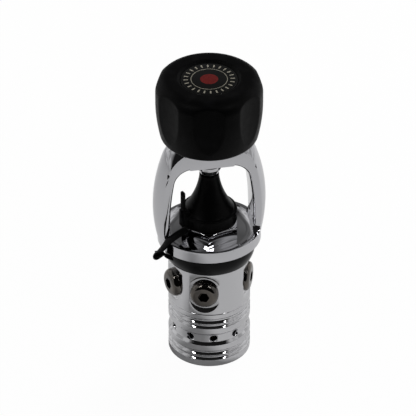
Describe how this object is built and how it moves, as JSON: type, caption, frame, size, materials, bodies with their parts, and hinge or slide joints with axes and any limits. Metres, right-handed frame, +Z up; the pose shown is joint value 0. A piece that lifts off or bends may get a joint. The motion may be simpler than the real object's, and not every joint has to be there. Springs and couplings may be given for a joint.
{
  "type": "scuba regulator first stage",
  "caption": "Yoke-clamp piston first stage of a scuba regulator set: hand knob, yoke, dust cap on a strap, port body with plugs, and ridged piston cap.",
  "frame": {"origin": "centre of the piston cap's flat base, which it stands on", "axes": "+Z up the axis to the hand knob, +X through one yoke arm, +Y to the back of the yoke window"},
  "size_m": [0.058, 0.0517, 0.1568],
  "materials": {
    "chrome": "mirror-bright plated brass",
    "smoked_nickel": "dark smoked nickel plate",
    "brass": "turned",
    "stainless_steel": "satin",
    "spring_steel": "drawn wire",
    "sintered_bronze": "grainy sintered",
    "white_nylon": "machined",
    "seal_rubber": "smooth",
    "ring_rubber": "glossy moulded",
    "cap_rubber": "satin moulded",
    "knob_rubber": "fine matt grain",
    "badge_plastic": "glossy"
  },
  "bodies": {
    "root": {"dust_cap_strap": "cap_rubber", "filter_circlip": "stainless_steel", "high_pressure_plug_1": "smoked_nickel", "high_pressure_plug_2": "smoked_nickel", "high_pressure_plug_o_ring_1": "seal_rubber", "high_pressure_plug_o_ring_2": "seal_rubber", "inlet_filter": "sintered_bronze", "inlet_o_ring": "seal_rubber", "low_pressure_plug_1": "smoked_nickel", "low_pressure_plug_2": "smoked_nickel", "low_pressure_plug_3": "smoked_nickel", "low_pressure_plug_o_ring_1": "seal_rubber", "low_pressure_plug_o_ring_2": "seal_rubber", "low_pressure_plug_o_ring_3": "seal_rubber", "main_spring": "spring_steel", "piston_cap": "chrome", "stem_bushing": "white_nylon", "stem_o_ring": "seal_rubber", "tether_ring": "ring_rubber", "valve_body": "chrome", "yoke": "chrome", "yoke_nut": "chrome"},
    "knob": {"knob": "knob_rubber", "knob_insert": "brass", "knob_bolt": "stainless_steel", "knob_badge": "badge_plastic"},
    "yoke_screw": {"yoke_screw": "chrome"},
    "dust_cap": {"dust_cap": "cap_rubber"},
    "piston": {"piston": "brass", "piston_head_o_ring": "seal_rubber", "piston_seat": "white_nylon", "spring_shim": "stainless_steel"}
  },
  "joints": [
    {"name": "knob_turn", "type": "hinge", "parent": "yoke_screw", "child": "knob", "pos_m": [0, 0, 0.1238], "axis": [0, 0, 1], "range_deg": [0, 1980]},
    {"name": "screw_travel", "type": "slide", "parent": "root", "child": "yoke_screw", "axis": [0, 0, 1], "range_m": [0, 0.00963]},
    {"name": "cap_lift", "type": "slide", "parent": "root", "child": "dust_cap", "axis": [0, 0, 1], "range_m": [0, 0.00851], "deforming": ["dust_cap_strap"]},
    {"name": "piston_slide", "type": "slide", "parent": "root", "child": "piston", "axis": [0, 0, 1], "range_m": [0, 0.0015], "stiffness_N_per_m": 5000, "springref_m": -0.004, "deforming": ["main_spring"]}
  ],
  "couplings": [
    {"joint": "screw_travel", "follows": "knob_turn", "m_per_rad": 0.00027852},
    {"joint": "cap_lift", "follows": "knob_turn", "m_per_rad": 0.00024597}
  ]
}
